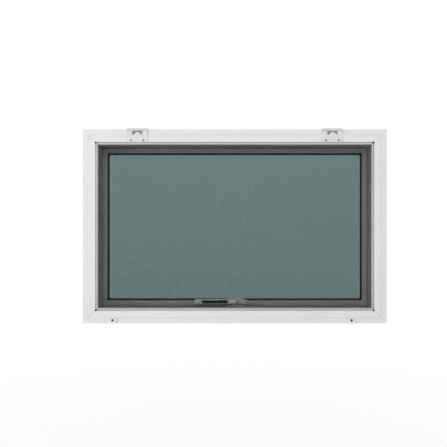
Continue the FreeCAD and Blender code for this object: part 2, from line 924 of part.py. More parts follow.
def handle_base():
    base = new_body("handle_base")
    half = size("base_length") / 2
    waist = size("base_waist") / 2
    rise = size("base_rise")
    end_rise = size("base_end_rise")
    drop = size("base_drop")
    outline = new_sketch(base, "handle_base_outline", "XZ_Plane")
    add_loop(outline, [
        (half, end_rise), (waist, rise), (-waist, rise), (-half, end_rise),
        (-half, -drop), (half, -drop),
    ])
    plate_pad = pad(base, outline, size("base_thickness"))
    across = runs_along("y")

    def end_corner(edge):
        return across(edge) and abs(abs(edge.Vertexes[0].X) - half.value) < 1e-6

    rounded = soften(base, plate_pad, size("base_end_radius"), end_corner)
    soften(base, rounded, size("base_edge"), in_plane("y", -size("base_thickness")))
    bore = new_sketch(base, "handle_base_bore", "XZ_Plane")
    add_circle(bore, ZERO, ZERO, size("spindle_radius") + size("running_clearance"))
    pocket(base, bore, centred=True)
    place(base, x=handle_x, y=sash_front, z=handle_z)


def lever_arm():
    """A tapered arm with a sunk grip strip, and a hub with its spindle and cam."""
    body = document.addObject("PartDesign::Body", "lever_arm")
    arm = new_sketch(body, "lever_arm_outline", "XZ_Plane")
    half_root = size("lever_root_width") / 2
    half_tip = size("lever_tip_width") / 2
    add_loop(arm, [
        (half_root, -half_root), (half_root, half_root),
        (-size("lever_reach"), half_tip), (-size("lever_reach"), -half_tip),
    ])
    arm_pad = pad(body, arm, size("lever_thickness"))
    rounded = soften(body, arm_pad, size("lever_end_radius"), runs_along("y"))
    soften(body, rounded, size("lever_edge"), in_plane("y", -size("lever_thickness")))
    hub = new_sketch(body, "lever_hub", "XZ_Plane", -size("hub_length"))
    add_circle(hub, ZERO, ZERO, size("hub_radius"))
    pad(body, hub, size("hub_length") + size("lever_thickness") / 2)
    recess = new_sketch(
        body, "lever_recess", "XZ_Plane", size("lever_thickness") - size("insert_depth")
    )
    add_loop(recess, insert_outline())
    pocket(body, recess, backwards=True)
    spindle = new_sketch(body, "lever_spindle", "XZ_Plane", -size("hub_length"))
    add_circle(spindle, ZERO, ZERO, size("spindle_radius"))
    pad(body, spindle, size("spindle_length"), backwards=True)
    cam = new_sketch(body, "lever_cam", "XZ_Plane", size("cam_setback") - size("hub_length"))
    half_cam = size("cam_width") / 2
    add_loop(cam, rectangle(-half_cam, half_cam, -size("cam_length"), ZERO))
    pad(body, cam, size("cam_thickness"))
    place(body, x=handle_x, y=lever_back, z=handle_z)
    return body


def lever_cap():
    """The round cap over the hub, proud of the arm."""
    body = document.addObject("PartDesign::Body", "lever_cap")
    outline = new_sketch(body, "lever_cap_outline", "XZ_Plane")
    add_circle(outline, ZERO, ZERO, size("cap_radius"))
    rise = size("lever_thickness") + size("cap_height")
    cap_pad = pad(body, outline, rise)
    soften(body, cap_pad, size("cap_edge"), in_plane("y", -rise))
    place(body, x=handle_x, y=lever_back, z=handle_z)
    return body


def handle_lever():
    lever = document.addObject("Part::Fuse", "lever_with_cap")
    lever.Base = lever_arm()
    lever.Tool = lever_cap()
    lever.Refine = True
    keep("handle_lever", lever)


def insert_outline():
    half = size("insert_width") / 2
    low = -(size("insert_start") + size("insert_length"))
    return rectangle(low, -size("insert_start"), -half, half)


def lever_insert():
    insert = new_body("lever_insert")
    strip = new_sketch(
        insert, "lever_insert_outline", "XZ_Plane", size("lever_thickness") - size("insert_depth")
    )
    add_loop(strip, insert_outline())
    pad(insert, strip, size("insert_depth") + size("insert_height"))
    place(insert, x=handle_x, y=lever_back, z=handle_z)


def handle_keeper():
    """The ramp on the sill that the cam pulls against."""
    body = new_body("handle_keeper")
    side = new_sketch(body, "handle_keeper_side", "YZ_Plane")
    deep = size("keeper_depth")
    high = size("keeper_height")
    bevel = size("keeper_edge")
    add_loop(side, [(ZERO, ZERO), (deep, ZERO), (deep, high - bevel), (deep - bevel, high),
                    (ZERO, high)])
    pad(body, side, size("keeper_length"), centred=True)
    place(body, x=handle_x, y=keeper_front, z=size("frame_face"))


handle_base()
handle_lever()
lever_insert()
handle_keeper()

document.recompute()
for item in document.Objects:
    if "Invalid" in item.State or "Error" in item.State:
        raise RuntimeError(f"{item.Label} failed: {item.State}")
for name, item in finished.items():
    if item.Shape.isNull() or not item.Shape.isValid():
        raise RuntimeError(f"{name} has no valid shape")

os.makedirs("parts", exist_ok=True)
for name, item in finished.items():
    item.Shape.exportStep(f"parts/{name}.step")
    print(name, len(item.Shape.Solids), round(item.Shape.Volume), item.Shape.BoundBox)
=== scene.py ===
"""The looks of a top hung awning window: finishes, woven screen, screws, light and camera.

Lengths are metres. +X is to the right seen from the room, +Z is up, the room is at -Y.
"""
import math
import random

import bmesh
import bpy
from mathutils import Matrix, Vector

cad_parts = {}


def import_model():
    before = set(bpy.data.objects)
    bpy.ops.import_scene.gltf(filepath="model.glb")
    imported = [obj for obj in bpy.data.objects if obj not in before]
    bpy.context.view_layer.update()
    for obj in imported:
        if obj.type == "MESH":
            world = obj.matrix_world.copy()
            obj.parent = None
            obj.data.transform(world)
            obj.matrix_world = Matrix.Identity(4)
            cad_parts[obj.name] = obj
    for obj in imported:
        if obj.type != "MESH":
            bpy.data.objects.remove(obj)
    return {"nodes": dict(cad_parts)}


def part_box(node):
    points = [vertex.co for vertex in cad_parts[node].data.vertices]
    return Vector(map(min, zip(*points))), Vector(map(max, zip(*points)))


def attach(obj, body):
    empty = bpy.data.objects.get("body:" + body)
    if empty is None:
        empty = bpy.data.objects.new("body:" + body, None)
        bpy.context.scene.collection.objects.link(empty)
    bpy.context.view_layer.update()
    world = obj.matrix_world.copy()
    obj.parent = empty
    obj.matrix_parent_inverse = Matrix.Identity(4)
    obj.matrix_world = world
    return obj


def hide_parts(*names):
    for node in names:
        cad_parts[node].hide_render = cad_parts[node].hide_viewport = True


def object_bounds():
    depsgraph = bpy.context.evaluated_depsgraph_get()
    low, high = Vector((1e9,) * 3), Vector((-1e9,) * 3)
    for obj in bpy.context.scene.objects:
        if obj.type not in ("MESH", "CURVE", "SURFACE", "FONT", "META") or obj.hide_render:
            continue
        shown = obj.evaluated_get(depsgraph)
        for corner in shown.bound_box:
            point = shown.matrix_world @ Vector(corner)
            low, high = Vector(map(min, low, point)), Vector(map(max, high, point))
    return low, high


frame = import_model()
cad_low, cad_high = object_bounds()
nodes = frame["nodes"]

MM = 0.001
HANDS = ("left", "right")
TO_ROOM = (0, -1, 0)
UPWARDS = (0, 0, 1)

BUMP_DEPTH = 0.1 * MM
EDGE_SAMPLES = 6
COATING_IOR = 1.5
CLOUD_RANGE = (0.35, 0.75)
DEEP_IN_CREVICE = 0.1


# Node trees
class Shader:
    """A material, or a world, with short calls that add and link its nodes."""

    def __init__(self, name, holders=bpy.data.materials, kind="Material"):
        self.material = holders.new(name)
        self.material.use_nodes = True
        self.tree = self.material.node_tree
        self.tree.nodes.clear()
        self.output = self.add("Output" + kind)

    def fill(self, socket, value):
        """Links a socket to another node's output, or writes its own value."""
        if isinstance(value, bpy.types.NodeSocket):
            self.tree.links.new(value, socket)
        else:
            socket.default_value = value

    def add(self, kind, inputs=None, **settings):
        node = self.tree.nodes.new("ShaderNode" + kind)
        for key, value in settings.items():
            setattr(node, key, value)
        for key, value in (inputs or {}).items():
            self.fill(node.inputs[key], value)
        return node

    def surface(self, node):
        self.fill(self.output.inputs["Surface"], node.outputs[0])
        return self.material

    def place(self, stretch=(1, 1, 1)):
        """Coordinates fixed to the piece, in metres, stretched each way."""
        where = self.add("TexCoord").outputs["Object"]
        return self.add("Mapping", {"Vector": where, "Scale": stretch}).outputs["Vector"]

    def axes(self):
        """The X, Y and Z of the coordinates fixed to the piece."""
        return self.add("SeparateXYZ", {0: self.place()}).outputs

    def noise(self, scale, stretch=(1, 1, 1), detail=2.0):
        inputs = {"Vector": self.place(stretch), "Scale": scale, "Detail": detail}
        return self.add("TexNoise", inputs).outputs["Fac"]

    def remap(self, value, low, high, start=0.0, end=1.0):
        """A value that runs from low to high while its input runs from start to end."""
        inputs = {"Value": value, "From Min": start, "From Max": end, "To Min": low, "To Max": high}
        return self.add("MapRange", inputs).outputs["Result"]

    def tint(self, colour, factor, other):
        """Colour with a share of another laid over it."""
        node = self.add("Mix", data_type="RGBA")
        sockets = [socket for socket in node.inputs if socket.enabled]
        for socket, value in zip(sockets, (factor, colour, other)):
            self.fill(socket, value)
        return [socket for socket in node.outputs if socket.enabled][0]

    def bump(self, height, strength, normal):
        inputs = {"Height": height, "Strength": strength, "Distance": BUMP_DEPTH, "Normal": normal}
        return self.add("Bump", inputs).outputs["Normal"]

    def soft_edge(self, radius):
        return self.add("Bevel", {"Radius": radius}, samples=EDGE_SAMPLES).outputs["Normal"]

    def maths(self, operation, first, *others):
        """One value by itself, or a running sum, product or the like of several."""
        if not others:
            return self.add("Math", {0: first}, operation=operation).outputs[0]
        for other in others:
            first = self.add("Math", {0: first, 1: other}, operation=operation).outputs[0]
        return first

    def cloudy(self, colour, cloud, other, share=0.8, spread=CLOUD_RANGE):
        """Colour with soft patches of another where the cloud is thick."""
        return self.tint(colour, self.remap(cloud, 0.0, share, *spread), other)

    def about(self, cloud, middle, swing):
        """A value that wanders about a middle with the cloud."""
        return self.remap(cloud, middle - swing, middle + swing)

    def shaded_in_crevices(self, tone, depth, share, clear, crevice_shade):
        """A tone with painted shade in crevices of this depth, darker where ambient occlusion finds
        nearby surfaces, and none where the surface lies clear.
        """
        hidden = self.add("AmbientOcclusion", {"Distance": depth}, samples=EDGE_SAMPLES)
        part = self.remap(hidden.outputs["AO"], share, 0.0, DEEP_IN_CREVICE, clear)
        return self.tint(tone, part, crevice_shade)


def rgb(red, green, blue):
    return (red, green, blue, 1.0)


def scaled(colour, factor, lift=0.0):
    """A darker or paler copy of a colour."""
    return rgb(*(channel * factor + lift for channel in colour[:3]))


# Lines on the screen's frame: dust with painted shade along the lip, and fine dark mitres
DUST_AND_SHADE_COLOUR = rgb(0.16, 0.16, 0.165)
DUST_AND_SHADE_AT_EDGE = 0.80
DUST_AND_SHADE_FURTHER = 0.36
DUST_AND_SHADE_FADE = 0.6
DUST_AND_SHADE_END = 1.05
MITRE_COLOUR = rgb(0.25, 0.25, 0.25)
MITRE_SHARE = 0.45
MITRE_CORE = 0.25 * MM
MITRE_EDGE = 0.75 * MM


def dust_and_shade_line(shader, tone, axis, edge, reach):
    """Dust with painted shade, darkest at the inner edge, on the strip of an extrusion between its inner
    edge and a groove.
    """
    where = shader.axes()[axis]
    strip = shader.remap(where, 1.0, 0.0, edge + reach, edge + reach * DUST_AND_SHADE_END)
    thick = shader.remap(where, DUST_AND_SHADE_AT_EDGE, DUST_AND_SHADE_FURTHER, edge, edge + reach * DUST_AND_SHADE_FADE)
    return shader.tint(tone, shader.maths("MULTIPLY", strip, thick), DUST_AND_SHADE_COLOUR)


def mitre_line(shader, tone, low, high):
    """A fine dark line along the four mitres of a frame with these corners."""
    where = shader.axes()
    insets = []
    for axis, start, end in (("X", low.x, high.x), ("Z", low.z, high.z)):
        off_middle = shader.maths("SUBTRACT", where[axis], (start + end) / 2)
        insets.append(shader.maths("SUBTRACT", (end - start) / 2, shader.maths("ABSOLUTE", off_middle)))
    apart = shader.maths("ABSOLUTE", shader.maths("SUBTRACT", *insets))
    return shader.tint(tone, shader.remap(apart, MITRE_SHARE, 0.0, MITRE_CORE, MITRE_EDGE), MITRE_COLOUR)


# Finishes
DIE_STRETCH = {"x": (4, 900, 900), "z": (900, 900, 4)}
COAT_ROUGHNESS = 0.42
COAT_EDGE = 0.5 * MM
COAT_CREVICE = 2.5 * MM
COAT_CREVICE_SHADE = rgb(0.36, 0.355, 0.35)
COAT_PATCHES = 0.955


def powder_coat(name, colour, along, dust=None, corners=None):
    """Satin powder coat on an extrusion: soft edges, fine orange peel, faint die lines and painted shade
    in its crevices.
    """
    shader = Shader(name)
    die_lines = shader.noise(scale=1.0, stretch=DIE_STRETCH[along], detail=3.0)
    peel = shader.noise(scale=900, detail=1.0)
    cloud = shader.noise(scale=7, detail=3.0)
    normal = shader.bump(die_lines, strength=0.10, normal=shader.soft_edge(COAT_EDGE))
    normal = shader.bump(peel, strength=0.07, normal=normal)
    tone = shader.cloudy(colour, cloud, scaled(colour, COAT_PATCHES))
    # Painted shade: the coat turns darker in crevices within 2.5 mm
    tone = shader.shaded_in_crevices(tone, depth=COAT_CREVICE, share=0.6, clear=0.7, crevice_shade=COAT_CREVICE_SHADE)
    # Dust with painted shade on the lip, then the dark mitre lines
    if dust:
        tone = dust_and_shade_line(shader, tone, *dust)
        tone = mitre_line(shader, tone, *corners)
    paint = shader.add("BsdfPrincipled", {
        "Base Color": tone,
        "Roughness": shader.about(cloud, COAT_ROUGHNESS, swing=0.04),
        "Normal": normal,
        "IOR": COATING_IOR,
    })
    return shader.surface(paint)


ENAMEL_EDGE = 0.4 * MM
ENAMEL_PATCHES = 0.93
GREEN_OF_CREVICE_SHADE = 0.97
BLUE_OF_CREVICE_SHADE = 0.94


def enamel(name, colour, roughness, metallic=0.0, depth=2 * MM, crevice_shade_level=0.25):
    """Smooth paint or moulded plastic on a small piece, or a metallic paint, with painted shade darker
    in its corners.
    """
    shader = Shader(name)
    cloud = shader.noise(scale=60, detail=3.0)
    peel = shader.noise(scale=1400, detail=1.0)
    tone = shader.cloudy(colour, cloud, scaled(colour, ENAMEL_PATCHES), share=0.7)
    crevice_shade = rgb(crevice_shade_level, crevice_shade_level * GREEN_OF_CREVICE_SHADE, crevice_shade_level * BLUE_OF_CREVICE_SHADE)
    # Painted shade: darker in corners within the given depth
    tone = shader.shaded_in_crevices(tone, depth, share=0.7, clear=0.65, crevice_shade=crevice_shade)
    paint = shader.add("BsdfPrincipled", {
        "Base Color": tone,
        "Roughness": shader.about(cloud, roughness, swing=0.05),
        "Normal": shader.bump(peel, strength=0.05, normal=shader.soft_edge(ENAMEL_EDGE)),
        "Metallic": metallic,
        "IOR": COATING_IOR,
    })
    return shader.surface(paint)


RUBBER_EDGE = 0.5 * MM
DUST_SPREAD = (0.45, 0.8)


def rubber(name, colour):
    """Extruded rubber with a fine grain and dusty patches."""
    shader = Shader(name)
    grain = shader.noise(scale=2500)
    dust = shader.noise(scale=35, detail=4.0)
    paler = scaled(colour, 1.5, lift=0.004)
    surface = shader.add("BsdfPrincipled", {
        "Base Color": shader.cloudy(colour, dust, paler, spread=DUST_SPREAD),
        "Roughness": shader.about(dust, 0.59, swing=0.09),
        "Normal": shader.bump(grain, strength=0.25, normal=shader.soft_edge(RUBBER_EDGE)),
        "IOR": COATING_IOR,
    })
    return shader.surface(surface)


EVEN_GRAIN = (300, 300, 300)
UPRIGHT_GRAIN = (2500, 2500, 30)
STEEL_EDGE = 0.3 * MM
STEEL_PATCHES = 0.75


def steel(name, colour, roughness, grain=EVEN_GRAIN):
    """Brushed or plated steel with fine scratches, which can be drawn out along one way."""
    shader = Shader(name)
    scratch = shader.noise(scale=1.0, stretch=grain, detail=4.0)
    cloud = shader.noise(scale=90, detail=3.0)
    metal = shader.add("BsdfPrincipled", {
        "Base Color": shader.cloudy(colour, cloud, scaled(colour, STEEL_PATCHES)),
        "Metallic": 1.0,
        "Roughness": shader.about(scratch, roughness + 0.01, swing=0.09),
        "Normal": shader.bump(scratch, strength=0.12, normal=shader.soft_edge(STEEL_EDGE)),
    })
    return shader.surface(metal)


def tinted_glass(name, through):
    """Float glass that lets a share of each colour through."""
    shader = Shader(name)
    glass = shader.add("BsdfPrincipled", {
        "Base Color": through,
        "Roughness": 0.0,
        "IOR": 1.5,
        "Transmission Weight": 1.0,
    })
    return shader.surface(glass)


THREAD_PATCHES = 1.8


def thread(name, colour):
    """Dark dull coating on glass fibre."""
    shader = Shader(name)
    cloud = shader.noise(scale=250)
    surface = shader.add("BsdfPrincipled", {
        "Base Color": shader.cloudy(colour, cloud, scaled(colour, THREAD_PATCHES)),
        "Roughness": 0.75,
        "Specular IOR Level": 0.08,
        "IOR": COATING_IOR,
    })
    return shader.surface(surface)


WHITE = rgb(0.79, 0.79, 0.796)
# Painted shade: the sash's white is a slightly darker copy of the frame's white, for the sash that sits
# deep in the reveal
SASH_SHADED_WHITE = rgb(0.76, 0.76, 0.765)
HANDLE_GREY = rgb(0.93, 0.93, 0.94)
finish = {
    "frame_x": powder_coat("frame_paint_x", WHITE, "x"),
    "frame_z": powder_coat("frame_paint_z", WHITE, "z"),
    "sash_x": powder_coat("sash_paint_x", SASH_SHADED_WHITE, "x"),
    "sash_z": powder_coat("sash_paint_z", SASH_SHADED_WHITE, "z"),
    # Painted shade darkens the corners of the handle, base and hinge paints; the base's reaches 18 mm
    # and is nearly black, painting the shade beside the hub
    "handle": enamel("handle_paint", HANDLE_GREY, 0.34, metallic=0.85, crevice_shade_level=0.3),
    "base": enamel("base_paint", HANDLE_GREY, 0.34, metallic=0.85, depth=18 * MM, crevice_shade_level=0.04),
    "insert": enamel("insert_plastic", rgb(0.006, 0.006, 0.0065), 0.55),
    "hinge": enamel("hinge_paint", rgb(0.715, 0.72, 0.70), 0.35, crevice_shade_level=0.5),
    "button": enamel("button_plastic", rgb(0.82, 0.82, 0.83), 0.28),
    "rubber": rubber("rubber", rgb(0.010, 0.010, 0.010)),
    "seal": rubber("seal_rubber", rgb(0.42, 0.42, 0.43)),
    "spline": rubber("spline_rubber", rgb(0.05, 0.05, 0.05)),
    "glass": tinted_glass("glass", rgb(0.282, 0.442, 0.425)),
    "thread": thread("mesh", rgb(0.006, 0.0062, 0.0065)),
    "zinc": steel("zinc_plate", rgb(0.28, 0.26, 0.295), 0.50),
    "screw": steel("screw_steel", rgb(0.42, 0.41, 0.40), 0.32),
    "leaf_screw": steel("leaf_screw_steel", rgb(0.22, 0.215, 0.21), 0.40),
    "dark_screw": steel("dark_screw_steel", rgb(0.10, 0.085, 0.07), 0.42),
    "stay": steel("stay_steel", rgb(0.58, 0.58, 0.57), 0.30, grain=UPRIGHT_GRAIN),
}
WEARS = {
    "glazing_bead_top": "sash_x",
    "glazing_bead_bottom": "sash_x",
    "glass_pane": "glass",
    "insect_mesh": "thread",
    "inner_gasket": "rubber",
    "outer_gasket": "rubber",
    "weather_seal": "seal",
    "screen_spline": "spline",
    "handle_base": "base",
    "handle_lever": "handle",
    "handle_keeper": "handle",
    "lever_insert": "insert",
}
WEARS_ON_BOTH_HANDS = {
    "glazing_bead_": "sash_z",
    "hinge_fixed_leaf_": "hinge",
    "hinge_moving_leaf_": "hinge",
    "hinge_pin_": "screw",
    "turn_button_": "button",
    "button_screw_": "dark_screw",
    "friction_stay_": "stay",
}


def dress(node, material):
    mesh = nodes[node].data
    mesh.materials.clear()
    mesh.materials.append(material)


def dress_nodes():
    for member in nodes:
        group = member.split("_")[0]
        if group in ("frame", "sash"):
            upright = "jamb" in member or "stile" in member
            dress(member, finish[group + ("_z" if upright else "_x")])
    for node, name in WEARS.items():
        dress(node, finish[name])
    for start, name in WEARS_ON_BOTH_HANDS.items():
        for side in HANDS:
            dress(start + side, finish[name])


dress_nodes()


# The screen's frame: each side has its own paint, with dust and painted shade on the lip inside the
# groove
SCREEN_SIDES = ("top_rail", "bottom_rail", "stile_left", "stile_right")
LIP_WIDTH = 4.5 * MM


def screen_corners():
    """Lowest and highest corners of the insect screen's frame."""
    boxes = [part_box("screen_" + side) for side in SCREEN_SIDES]
    return (Vector([min(low[axis] for low, _ in boxes) for axis in range(3)]),
            Vector([max(high[axis] for _, high in boxes) for axis in range(3)]))


screen_low, screen_high = screen_corners()


def paint_screen_side(side, axis, inner, reach):
    """Paints one side, whose inner edge is the inner one of its box's two corners along the axis."""
    member = "screen_" + side
    edge = getattr(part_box(member)[inner], axis.lower())
    along = "x" if axis == "Z" else "z"
    dress(member, powder_coat(member + "_paint", WHITE, along, dust=(axis, edge, reach),
                              corners=(screen_low, screen_high)))


LOW, HIGH = 0, 1
paint_screen_side("top_rail", "Z", LOW, LIP_WIDTH)
paint_screen_side("bottom_rail", "Z", HIGH, -LIP_WIDTH)
paint_screen_side("stile_left", "X", HIGH, -LIP_WIDTH)
paint_screen_side("stile_right", "X", LOW, LIP_WIDTH)


# Making pieces
def new_piece(name, mesh, material, body):
    piece = bpy.data.objects.new(name, mesh)
    bpy.context.scene.collection.objects.link(piece)
    mesh.materials.clear()
    mesh.materials.append(material)
    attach(piece, body)
    return piece


def to_mesh(build, name):
    mesh = bpy.data.meshes.new(name)
    build.to_mesh(mesh)
    build.free()
    return mesh


def smooth(mesh):
    for polygon in mesh.polygons:
        polygon.use_smooth = True


def stand(mesh, point, way, turn=0):
    """Moves a mesh built upwards on z = 0 to a point and points it along a way."""
    aim = Vector(way).to_track_quat("Z", "Y").to_matrix().to_4x4()
    mesh.transform(Matrix.Translation(point) @ aim @ Matrix.Rotation(math.radians(turn), 4, "Z"))


def lathe(profile, segments):
    """Turns (radius, height) points about Z into a closed mesh."""
    build = bmesh.new()
    rings = []
    for radius, height in profile:
        if radius == 0:
            rings.append([build.verts.new((0, 0, height))])
            continue
        rings.append([
            build.verts.new((radius * math.cos(turn), radius * math.sin(turn), height))
            for turn in (2 * math.pi * step / segments for step in range(segments))
        ])
    for lower, upper in zip(rings, rings[1:]):
        for step in range(segments):
            after = (step + 1) % segments
            corners = [lower[step % len(lower)], lower[after % len(lower)],
                       upper[after % len(upper)], upper[step % len(upper)]]
            unique = list(dict.fromkeys(corners))
            if len(unique) > 2:
                build.faces.new(unique)
    bmesh.ops.recalc_face_normals(build, faces=build.faces)
    return build


def loft(outlines):
    """A closed mesh through outlines of as many points each, its first and last one filled."""
    build = bmesh.new()
    rings = [[build.verts.new(point) for point in outline] for outline in outlines]
    count = len(rings[0])
    build.faces.new(rings[0])
    build.faces.new(rings[-1])
    for lower, upper in zip(rings, rings[1:]):
        for step in range(count):
            after = (step + 1) % count
            build.faces.new((lower[step], lower[after], upper[after], upper[step]))
    bmesh.ops.recalc_face_normals(build, faces=build.faces)
    return build


# Woven insect mesh: two layers of straight coated threads that touch where they cross
THREAD_PITCH = 1.2 * MM
THREAD_WIDTH = 0.37 * MM
THREAD_SIDES = 6
PITCH_WANDER = 0.05
THREAD_SEED = 5


def thread_stations(start, end):
    """Places of the threads between two edges, a little uneven as in real cloth."""
    count = round((end - start) / THREAD_PITCH)
    return [
        start + (index + 0.5 + random.uniform(-PITCH_WANDER, PITCH_WANDER)) * (end - start) / count
        for index in range(count)
    ]


def add_thread(vertices, faces, start, along, across, half_depth):
    """A straight thread of oval section from start, by the vector along."""
    first = len(vertices)
    for end in (start, start + along):
        for step in range(THREAD_SIDES):
            turn = 2 * math.pi * step / THREAD_SIDES
            side = across * (THREAD_WIDTH / 2 * math.cos(turn))
            vertices.append(end + side + Vector((0, half_depth * math.sin(turn), 0)))
    for step in range(THREAD_SIDES):
        after = (step + 1) % THREAD_SIDES
        faces.append((first + step, first + after,
                      first + THREAD_SIDES + after, first + THREAD_SIDES + step))


def insect_threads():
    random.seed(THREAD_SEED)
    low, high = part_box("insect_mesh")
    half_depth = (high.y - low.y) / 4
    width = high.x - low.x
    height = high.z - low.z
    vertices, faces = [], []
    for x in thread_stations(low.x, high.x):
        add_thread(vertices, faces, Vector((x, low.y + half_depth, low.z)), Vector((0, 0, height)),
                   Vector((1, 0, 0)), half_depth)
    for z in thread_stations(low.z, high.z):
        add_thread(vertices, faces, Vector((low.x, high.y - half_depth, z)), Vector((width, 0, 0)),
                   Vector((0, 0, -1)), half_depth)
    mesh = bpy.data.meshes.new("screen_threads")
    mesh.from_pydata(vertices, [], faces)
    smooth(mesh)
    piece = new_piece("screen_threads", mesh, finish["thread"], "insect_screen")
    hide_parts("insect_mesh")


insect_threads()


# Screws with a cross recess
HEAD_SEGMENTS = 28
CROWN_STEPS = 6
CROWN_FOOT = 0.35
RECESS_REACH = 0.58
RECESS_WIDTH = 0.3
RECESS_FLOOR = 0.25
RECESS_TAPER = 0.45


def cross_cutter(radius, height):
    """A plus-shaped tool for a screw head, narrower towards its floor."""
    reach = radius * RECESS_REACH
    half = radius * RECESS_WIDTH / 2
    levels = []
    for level, share in ((height * RECESS_FLOOR, RECESS_TAPER), (height * 2, 1.0)):
        points = []
        for quarter in range(4):
            turn = Matrix.Rotation(quarter * math.pi / 2, 3, "Z")
            for corner in ((half, half), (half, reach * share), (-half, reach * share)):
                points.append(turn @ Vector((*corner, 0)) + Vector((0, 0, level)))
        levels.append(points)
    return loft(levels)


def screw_mesh(name, radius, height, shank, length):
    """A pan head standing on z = 0 with its shank below."""
    crown = [
        (radius * math.cos(turn), height * (CROWN_FOOT + (1 - CROWN_FOOT) * math.sin(turn)))
        for turn in (math.pi / 2 * step / CROWN_STEPS for step in range(CROWN_STEPS + 1))
    ]
    crown[-1] = (0, height)
    profile = [(0, -length), (shank, -length), (shank, 0), (radius, 0)] + crown
    head = bpy.data.objects.new(name, to_mesh(lathe(profile, HEAD_SEGMENTS), name))
    tool_name = name + "_tool"
    tool = bpy.data.objects.new(tool_name, to_mesh(cross_cutter(radius, height), tool_name))
    for item in (head, tool):
        bpy.context.scene.collection.objects.link(item)
    cut = head.modifiers.new("recess", "BOOLEAN")
    cut.operation = "DIFFERENCE"
    cut.solver = "EXACT"
    cut.object = tool
    result = bpy.data.meshes.new_from_object(
        head.evaluated_get(bpy.context.evaluated_depsgraph_get())
    )
    for item in (head, tool):
        bpy.data.objects.remove(item)
    result.name = name
    return result


def put_screw(name, mesh, point, outwards, turn, material, body):
    """A screw whose head faces outwards, its recess turned by some degrees."""
    copy = mesh.copy()
    stand(copy, point, outwards, turn)
    return new_piece(name, copy, material, body)


LEAF_SCREW = {"radius": 2.6 * MM, "height": 1.1 * MM, "shank": 1.5 * MM, "length": 2.5 * MM}
BASE_SCREW = {"radius": 2.4 * MM, "height": 0.8 * MM, "shank": 1.2 * MM, "length": 2.0 * MM}
LEAF_SCREW_TURNS = (25, 65)
HEAD_SCREW_TURNS = (10, 65)
BASE_SCREW_TURNS = (20, 55)
LEAF_SCREW_OFFSET = 16.5 * MM
LEAF_SCREW_RISE = 5 * MM
LEAF_THICKNESS = 1.6 * MM
FIXED_LEAF = 1.5 * MM
FIXED_SCREW_SETBACK = 8 * MM
BASE_SCREW_OFFSET = 25 * MM


def hinge_and_base_screws():
    head_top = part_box("frame_head")[1].z
    leaf_screw = screw_mesh("leaf_screw", **LEAF_SCREW)
    base_screw = screw_mesh("base_screw", **BASE_SCREW)
    for side in HANDS:
        low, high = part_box("hinge_moving_leaf_" + side)
        fixed_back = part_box("hinge_fixed_leaf_" + side)[1].y
        for number, sign in enumerate((-1, 1)):
            x = (low.x + high.x) / 2 + sign * LEAF_SCREW_OFFSET
            place = Vector((x, high.y - LEAF_THICKNESS, low.z + LEAF_SCREW_RISE))
            put_screw(f"leaf_screw_{side}_{number}", leaf_screw, place, TO_ROOM,
                      LEAF_SCREW_TURNS[number], finish["leaf_screw"], "insect_screen")
            place = Vector((x, fixed_back - FIXED_SCREW_SETBACK, head_top + FIXED_LEAF))
            put_screw(f"head_screw_{side}_{number}", base_screw, place, UPWARDS,
                      HEAD_SCREW_TURNS[number], finish["screw"], "window")
    low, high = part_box("handle_base")
    middle = (low + high) / 2
    for number, sign in enumerate((-1, 1)):
        place = Vector((middle.x + sign * BASE_SCREW_OFFSET, low.y, middle.z))
        put_screw(f"base_screw_{number}", base_screw, place, TO_ROOM,
                  BASE_SCREW_TURNS[number], finish["handle"], "window")


hinge_and_base_screws()


# Button screws: a dark domed head with a cross recess in place of the plain one
BUTTON_HEAD_HEIGHT = 1.6 * MM
BUTTON_SHANK = 1.75 * MM
BUTTON_SCREW_TURNS = {"left": 30, "right": 62}


def button_screws():
    for side, turn in BUTTON_SCREW_TURNS.items():
        node = "button_screw_" + side
        low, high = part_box(node)
        seat = low.y + BUTTON_HEAD_HEIGHT
        mesh = screw_mesh(node + "_head", (high.x - low.x) / 2, BUTTON_HEAD_HEIGHT, BUTTON_SHANK,
                          high.y - seat)
        place = Vector(((low.x + high.x) / 2, seat, (low.z + high.z) / 2))
        piece = put_screw("cross_screw_" + side, mesh, place, TO_ROOM, turn,
                          finish["dark_screw"], "window")
        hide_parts(node)


button_screws()


# Black plugs in the holes where the screen's grooves cross, as painted shade: black pieces standing for
# the shade inside the open holes
PLUG_RADIUS = 2.7 * MM
PLUG_RISE = 0.35 * MM
PLUG_RIM = 0.4
PLUG_CROWN = 0.85
PLUG_STEM = 1.95 * MM
PLUG_LENGTH = 8 * MM
PLUG_SEGMENTS = 24
GROOVE_LINE = 20.05 * MM


def black_shade_plugs():
    profile = [
        (0, -PLUG_LENGTH), (PLUG_STEM, -PLUG_LENGTH), (PLUG_STEM, 0), (PLUG_RADIUS, 0),
        (PLUG_RADIUS, PLUG_RISE * PLUG_RIM), (PLUG_RADIUS * PLUG_CROWN, PLUG_RISE), (0, PLUG_RISE),
    ]
    for column, x in (("left", screen_low.x + GROOVE_LINE), ("right", screen_high.x - GROOVE_LINE)):
        for row, z in (("lower", screen_low.z + GROOVE_LINE), ("upper", screen_high.z - GROOVE_LINE)):
            name = f"black_shade_plug_{row}_{column}"
            mesh = to_mesh(lathe(profile, PLUG_SEGMENTS), name)
            stand(mesh, Vector((x, screen_low.y, z)), TO_ROOM)
            new_piece(name, mesh, finish["rubber"], "insect_screen")


black_shade_plugs()


# Domed cover over the lever's hub
DOME_RADIUS = 10 * MM
DOME_RISE = 2.2 * MM
DOME_SKIRT = 1 * MM
DOME_POWER = 2.5
DOME_STEPS = 14
DOME_SEGMENTS = 48
CAP_HEIGHT = 4 * MM
AXIS_HEIGHT = 54 * MM


